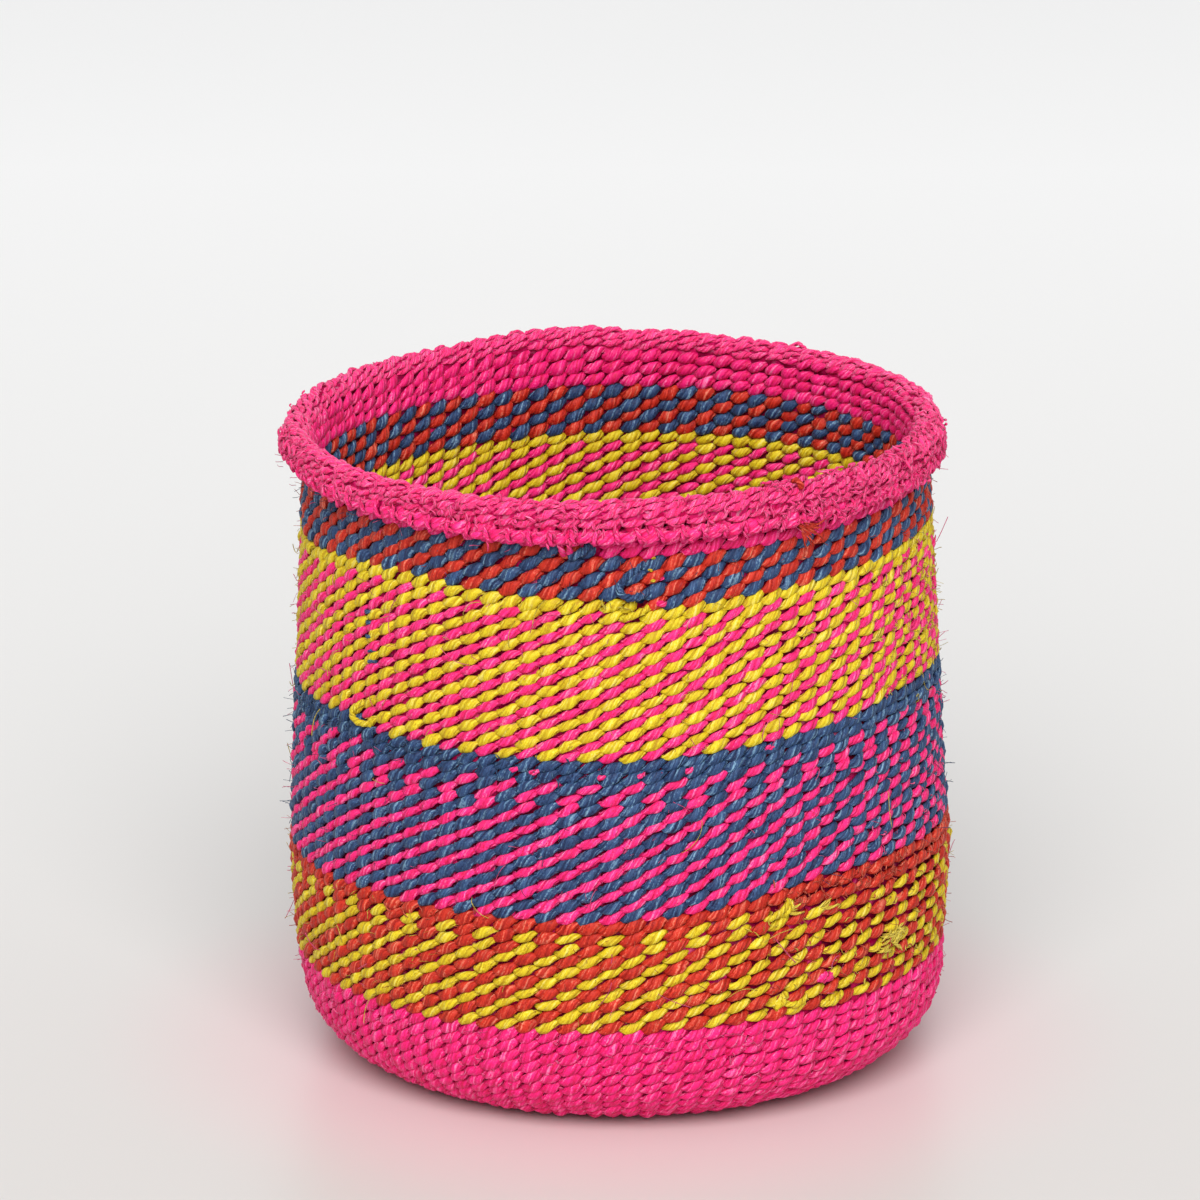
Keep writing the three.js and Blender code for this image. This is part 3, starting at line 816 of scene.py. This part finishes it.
# Loops and knots where a strand ends or was joined. Colour, half of the thickness, and the routes:
# degrees to the right of the front, height, and how far out of the middle of the wall
joins = {
    "join_loop_blue": ("blue", 1.1, [
        [(7.2, 136.0, 0.8), (5.3, 134.6, 1.9), (4.0, 133.6, 2.2), (1.8, 133.3, 2.2),
         (0.5, 134.3, 2.2), (0.2, 135.6, 2.1), (0.8, 137.1, 2.0), (2.4, 139.2, 2.0),
         (5.0, 141.3, 1.0)],
        [(-8.5, 142.6, 2.2), (-6.3, 144.0, 2.5), (-4.9, 145.6, 2.3), (-4.6, 147.0, 1.0)],
    ]),
    "join_ends_yellow": ("yellow", 1.0, [
        [(-50.6, 99.9, 1.2), (-51.8, 98.9, 2.0), (-53.2, 97.4, 2.3), (-53.4, 96.0, 2.3),
         (-52.2, 95.1, 2.3), (-50.4, 94.9, 2.2), (-48.4, 95.2, 1.2)],
        [(30.2, 34.8, 1.2), (29.4, 32.4, 2.4), (28.2, 31.0, 1.4)],
        [(29.4, 32.4, 1.4), (31.8, 31.2, 2.6), (34.5, 32.6, 1.4)],
        [(37.6, 29.7, 1.4), (40.0, 29.6, 2.6), (42.4, 31.0, 1.4)],
        [(26.0, 53.4, 1.0), (27.4, 54.2, 2.2), (29.6, 56.0, 2.4), (31.0, 57.4, 1.0)],
        [(29.0, 53.8, 1.0), (30.2, 55.0, 2.5), (31.6, 56.6, 1.0)],
        [(0.6, 128.0, 0.8), (2.0, 128.8, 2.3), (4.4, 130.2, 2.5), (6.2, 131.2, 0.8)],
    ]),
    "join_dots_yellow": ("yellow", 0.4, [
        [(6.2, 142.3, 1.2), (6.3, 142.8, 2.4), (6.7, 142.9, 2.4), (6.8, 142.3, 1.2)],
        [(5.6, 139.6, 1.2), (5.8, 140.1, 2.5), (6.1, 139.8, 2.5), (6.3, 139.4, 1.2)],
        [(6.0, 137.0, 1.2), (6.1, 137.3, 2.5), (6.6, 137.6, 2.5), (6.8, 137.2, 1.2)],
    ]),
    "join_dots_blue": ("blue", 0.62, dots(
        ((-50.4, 121.8), (-49.9, 119.3), (-49.8, 116.0), (-49.3, 112.8), (-49.0, 110.3)),
        ((-1.1, -0.4, 0.9), (-0.5, 0.0, 2.0), (0.5, 0.3, 2.0), (1.1, 0.0, 0.9)),
    )),
    "join_dots_pink": ("pink", 0.75, dots(
        ((-18.0, 91.4), (-14.3, 91.2), (-2.7, 90.6), (3.9, 90.9), (12.5, 91.6), (28.0, 95.0)),
        ((-0.9, -0.4, 1.0), (-0.35, 0.0, 2.1), (0.35, 0.2, 2.1), (0.9, 0.3, 1.0)),
    )),
    "join_specks_pink": ("pink", 0.48, dots(
        ((7.9, 137.5), (-1.0, 136.8), (-1.9, 140.2), (-1.0, 133.7)),
        ((-0.6, -0.2, 0.8), (-0.2, 0.0, 1.8), (0.2, 0.1, 1.8), (0.6, 0.2, 0.8)),
    )),
    "join_stubs_pink": ("pink", 0.9, [
        [(-10.1, 147.4, 3.4), (-9.9, 145.6, 3.3), (-9.6, 143.6, 2.5), (-9.4, 142.8, 1.2)],
        [(-8.2, 147.4, 3.4), (-8.2, 145.6, 3.3), (-8.4, 143.9, 2.5), (-8.4, 143.0, 1.2)],
        [(7.1, 131.4, 1.2), (7.5, 132.1, 2.5), (8.1, 132.0, 2.5), (8.5, 131.4, 1.2)],
    ]),
    "join_patch_pink": ("pink", 1.5, [
        [(35.8, 36.9, 0.8), (37.0, 36.9, 2.0), (38.6, 36.4, 2.0), (39.8, 36.1, 0.8)],
    ]),
    "join_stitch_red": ("red", 0.85, [
        [(32.5, 157.4, -1.8), (32.7, 157.9, -2.8), (33.0, 158.4, -2.8), (33.2, 158.9, -1.8)],
    ]),
}
joinCord = {
    "spacing": 0.8,
    "wear": 2,              # how often the corners of a route are worn round
    "flat": 0.8,            # thickness, next to the height
}


def addJoin(name):
    colour, half, routes = joins[name]
    cords = []
    for route in routes:
        turn, level, out = np.array(route, float).T
        points, outward, _ = surface(wallStart + level, np.radians(turn))
        line = rounded(points + outward * out[:, None], joinCord["spacing"], joinCord["wear"])
        thick = half * joinCord["flat"]
        cords.append(sweep(line, unit(line * (1, 1, 0)), thick, half, style="rim"))
    makePiece(name, cords, dyed[colour])


for name in joins:
    addJoin(name)
print("joins made")

# Hairs: fibres that stray from the cords, and the frayed ends on the rim. A hair starts in the
# weave and bends on its way along it. The rows give its length, half of its thickness, how far it
# lifts off the weave, how far it bows, and which way it heads: 90 degrees is up the wall.
hairs = {
    "short": ((1.0, 4.0), (0.05, 0.09), (0.1, 0.9), 0.5, (0, 360)),
    "long": ((5.0, 12.0), (0.08, 0.13), (0.05, 0.3), 1.1, (0, 360)),
    "frayed": ((1.2, 3.0), (0.24, 0.5), (-0.2, 0.1), 1.0, (0, 360)),
    "fluff": ((1.0, 2.8), (0.12, 0.26), (-0.1, 0.2), 1.2, (0, 360)),
    "bundle": ((3.5, 6.0), (0.34, 0.55), (-0.1, 0.03), 0.5, (155, 210)),
    "brush": ((3.5, 6.5), (0.22, 0.36), (-0.05, 0.15), 0.5, (100, 160)),
}
hairGrowth = {
    "rimZone": 6.5,         # this far below the fold a hair grows from the outside of the roll
    "rimStart": 4.0,        # place on the roll, past the end of its cover, for the base height
    "rimBase": 146.0,
    "rimStretch": 1.15,
    "rootOut": 1.3,
    "firstOut": 0.9,        # how far its first step lifts it clear of the strands
    "steps": 8,
    "fewSteps": 5,          # for a hair under the length given next
    "fewLength": 5.0,
    "taper": 0.75,
    "taperPower": 1.5,
    "thinSides": 4,
    "thickSides": 6,
}
# Dye, finish and kind, then the zones: degrees round the basket, heights, and how many hairs
hairZones = {
    "stray_fibres_pink": ("pink", "loose", "short", (
        (0, 360, 20, 27, 110), (0, 360, 30, 50, 50), (0, 360, 58, 92, 140), (0, 360, 97, 131, 160),
        (0, 360, 144, 151, 60))),
    "stray_fibres_yellow": ("yellow", "loose", "short", (
        (0, 360, 30, 55, 140), (0, 360, 97, 133, 220))),
    "stray_fibres_red": ("red", "loose", "short", ((0, 360, 30, 57, 150), (0, 360, 134, 144, 70))),
    "stray_fibres_blue": ("blue", "dyed", "short", ((0, 360, 58, 96, 260), (0, 360, 134, 144, 80))),
    "long_fibres_pink": ("pink", "loose", "long", ((0, 360, 20, 50, 20), (0, 360, 58, 131, 40))),
    "long_fibres_yellow": ("yellow", "loose", "long", ((0, 360, 25, 133, 36),)),
    "frayed_ends_pink": ("pink", "worn", "frayed", (
        (-88, -58, 151.6, 155.5, 80), (-58, -24, 149.8, 155, 95), (-24, 26, 148.5, 156, 90),
        (26, 60, 148.5, 157.5, 170), (60, 88, 147.4, 157.0, 130), (88, 272, 148.5, 155, 60))),
    "frayed_tuft_red": ("red", "dyed", "brush", ((32.0, 34.0, 147.2, 149.6, 22),)),
    "frayed_knot_yellow": ("yellow", "loose", "bundle", (
        (50.5, 56.0, 38.0, 42.8, 22), (29.0, 30.4, 54.0, 56.4, 3), (36.0, 37.2, 53.0, 54.6, 4),
        (51.0, 52.5, 113.4, 115.4, 4))),
    "frayed_stitches_yellow": ("yellow", "loose", "fluff", (
        (-2.5, 4.5, 130.0, 132.0, 9), (35, 38, 119.5, 122, 5), (20, 75, 33, 54, 40),
        (52, 88, 98, 131, 60))),
    "frayed_stitches_pink": ("pink", "loose", "fluff", (
        (52, 88, 98, 131, 60), (45, 88, 62, 90, 40), (0, 360, 12, 26, 200))),
    "frayed_stitches_red": ("red", "loose", "fluff", (
        (27, 58, 55.5, 61.0, 80), (58, 85, 56, 60, 20), (-80, -20, 51, 55.5, 20),
        (26, 80, 30, 55, 60))),
    "frayed_stitches_blue": ("blue", "dyed", "fluff", (
        (-80, -30, 89.5, 94.2, 80), (-30, 5, 90.0, 93.8, 25))),
}


def hairCord(turn, level, kind):
    lengths, halves, lifts, bows, headings = hairs[kind]
    length = rng.uniform(*lengths)
    half = rng.uniform(*halves)
    lift = rng.uniform(*lifts)
    angle = np.array([math.radians(turn)])
    distance = wallStart + np.array([level])
    onRim = level > rimHeight(math.radians(turn)) - hairGrowth["rimZone"]
    if onRim:
        past = hairGrowth["rimStart"] - (level - hairGrowth["rimBase"]) * hairGrowth["rimStretch"]
        distance = wallStart + rimHeight(angle) + foldLength + shape["coverReach"] + past
    point, outward, onward = (part[0] for part in surface(distance, angle))
    out = -outward if onRim else outward
    side = np.cross(outward, onward)
    heading = math.radians(rng.uniform(*headings))
    steps = hairGrowth["fewSteps"] if length < hairGrowth["fewLength"] else hairGrowth["steps"]
    bow = rng.uniform(-1, 1) * bows
    path = [point + out * hairGrowth["rootOut"]]
    for step in range(steps):
        heading += bow * 2 / steps
        flat = side * math.cos(heading) + onward * math.sin(heading)
        path.append(path[-1] + (flat * (1 - lift) + out * lift) * length / steps)
        if step == 0:
            path[-1] = path[-1] + out * hairGrowth["firstOut"]
    path = np.array(path)
    upright = np.tile(out, (len(path), 1))
    if kind in ("short", "long"):
        return sweep(path, upright, half, half, hairGrowth["thinSides"])
    ends = np.abs(np.linspace(-1, 1, len(path))) ** hairGrowth["taperPower"]
    half = half * (1 - hairGrowth["taper"] * ends)
    return sweep(path, upright, half, half, hairGrowth["thickSides"])


looseGlow = sisal["looseGlow"]
finishes = {
    "dyed": dyed,
    "worn": {"pink": wornLitPink},
    "loose": {dye: sisalMaterial(dye, "loose", looseGlow) for dye in ("pink", "red", "yellow")},
}


def addHairs(name):
    colour, finish, kind, zones = hairZones[name]
    cords = []
    for left, right, lowest, highest, count in zones:
        for _ in range(count):
            cords.append(hairCord(rng.uniform(left, right), rng.uniform(lowest, highest), kind))
    makePiece(name, cords, finishes[finish][colour])


for name in hairZones:
    addHairs(name)
print("hairs added")

# Light and floor, with lengths in metres
studio = {
    # painted light: the floor's tone runs from darker near the camera to lighter far off, for how
    # the light falls on it
    "floorNear": "#CAC8C5",
    "floorFar": "#F6F6F6",
    "floorDepths": (-0.2, 0.9),     # from the near tone to the far one
    # painted bounce light: the floor's colour is tinted pink close round the basket
    "paintedBounce": "#D8C9C9",        # close round the basket, whose pink shines back from the floor
    "bounceRadius": 0.135,
    "floorRadius": 6.0,
    "floorSides": 96,
    "floorRoughness": 0.4,
    "floorShine": 0.8,
    "backdrop": "#EEEEEE",          # what the camera and reflections see of the world
    "worldStrength": 0.52,
    "lampPlace": (0.0, -3.5, 3.1),
    "lampAim": (0.0, 0.0, 0.08),
    "lampSize": 3.8,
    "lampPower": 264.0,
}


def addSoftbox():
    data = bpy.data.lights.new("front_softbox", "AREA")
    data.energy = studio["lampPower"]
    data.shape = "DISK"
    data.size = studio["lampSize"]
    lamp = bpy.data.objects.new("front_softbox", data)
    lamp.location = studio["lampPlace"]
    aim = Vector(studio["lampAim"]) - Vector(studio["lampPlace"])
    lamp.rotation_euler = aim.to_track_quat("-Z", "Y").to_euler()
    scene.collection.objects.link(lamp)


def paperMaterial():
    # Pale matt paper with a faint sheen that shows a soft reflection of the basket. Its colour is
    # painted lighter further away, for how the light falls on it, and a pink blush is painted round
    # the basket: painted bounce light from the basket
    material = bpy.data.materials.new("matt_paper_floor")
    material.use_nodes = True
    tree = material.node_tree
    shader = tree.nodes["Principled BSDF"]
    place = addNode(tree, "ShaderNodeTexCoord").outputs["Object"]
    depth = addNode(tree, "ShaderNodeSeparateXYZ", [(0, place)]).outputs[1]
    near, far = studio["floorDepths"]
    share = addNode(tree, "ShaderNodeMapRange", [(0, depth)], set_1=near, set_2=far).outputs[0]
    tone = addNode(tree, "ShaderNodeMix", [(0, share)], data_type="RGBA",
                   set_6=linear(studio["floorNear"]), set_7=linear(studio["floorFar"])).outputs[2]
    away = addNode(tree, "ShaderNodeVectorMath", [(0, place)], operation="LENGTH").outputs["Value"]
    bounceShare = addNode(tree, "ShaderNodeMapRange", [(0, away)], interpolation_type="SMOOTHSTEP",
                    set_1=widest * mm, set_2=studio["bounceRadius"], set_3=1.0, set_4=0.0).outputs[0]
    tone = addNode(tree, "ShaderNodeMix", [(0, bounceShare), (6, tone)], data_type="RGBA",
                   set_7=linear(studio["paintedBounce"])).outputs[2]
    tree.links.new(tone, shader.inputs["Base Color"])
    shader.inputs["Roughness"].default_value = studio["floorRoughness"]
    shader.inputs["Specular IOR Level"].default_value = studio["floorShine"]
    return material


def addFloor():
    disc = bmesh.new()
    bmesh.ops.create_circle(disc, cap_ends=True, segments=studio["floorSides"],
                            radius=studio["floorRadius"])
    mesh = bpy.data.meshes.new("floor")
    disc.to_mesh(mesh)
    disc.free()
    mesh.materials.append(paperMaterial())
    floor = bpy.data.objects.new("floor", mesh)
    scene.collection.objects.link(floor)


def addWorld():
    world = bpy.data.worlds.new("studio")
    scene.world = world
    world.use_nodes = True
    tree = world.node_tree
    light = tree.nodes["Background"]
    light.inputs[0].default_value = (1, 1, 1, 1)
    light.inputs[1].default_value = studio["worldStrength"]
    seen = addNode(tree, "ShaderNodeBackground", set_0=linear(studio["backdrop"]), set_1=1.0)
    rays = addNode(tree, "ShaderNodeLightPath").outputs
    either = rays["Is Camera Ray"]
    for other in ("Is Glossy Ray", "Is Transmission Ray"):
        either = addNode(tree, "ShaderNodeMath", [(0, either), (1, rays[other])],
                         operation="ADD", use_clamp=True).outputs[0]
    links = [(0, either), (1, light.outputs[0]), (2, seen.outputs[0])]
    mix = addNode(tree, "ShaderNodeMixShader", links)
    tree.links.new(mix.outputs[0], tree.nodes["World Output"].inputs["Surface"])


addSoftbox()
addFloor()
addWorld()
print("stage lit")
